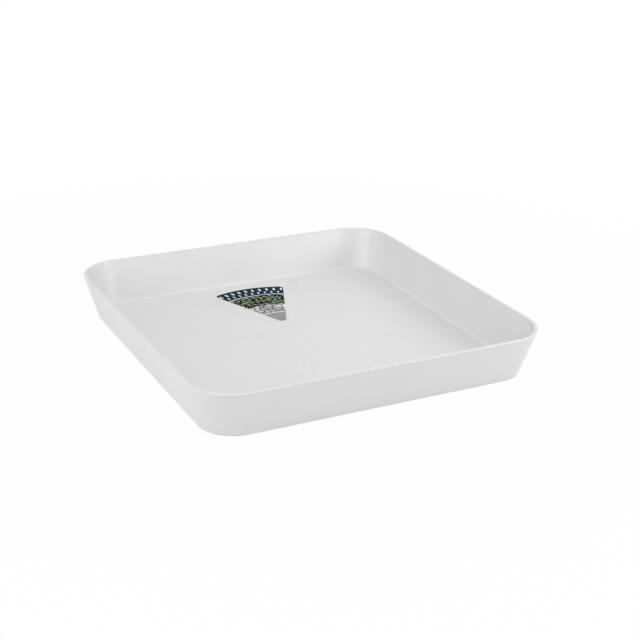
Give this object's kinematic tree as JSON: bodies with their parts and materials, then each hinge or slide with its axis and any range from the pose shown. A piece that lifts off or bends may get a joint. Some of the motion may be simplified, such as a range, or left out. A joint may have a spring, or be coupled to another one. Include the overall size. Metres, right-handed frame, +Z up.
{
  "type": "plant saucer",
  "caption": "Square plant saucer with outward sloping walls, round corners, a plain rim, shallow radial floor channels and a wedge shaped floor label; catches water under a pot.",
  "frame": {"origin": "middle of the base, on the ground plane", "axes": "+Z up out of the saucer; +X and +Y square to the walls, with +Y towards the wall that the label's round edge faces"},
  "size_m": [0.3, 0.3, 0.0392],
  "materials": {
    "tray_plastic": "white polypropylene, injection moulded, smooth satin",
    "label_film": "printed self adhesive film with a thin white edge, satin"
  },
  "bodies": {
    "root": {"saucer_tray": "tray_plastic", "floor_label": "label_film"}
  },
  "joints": []
}
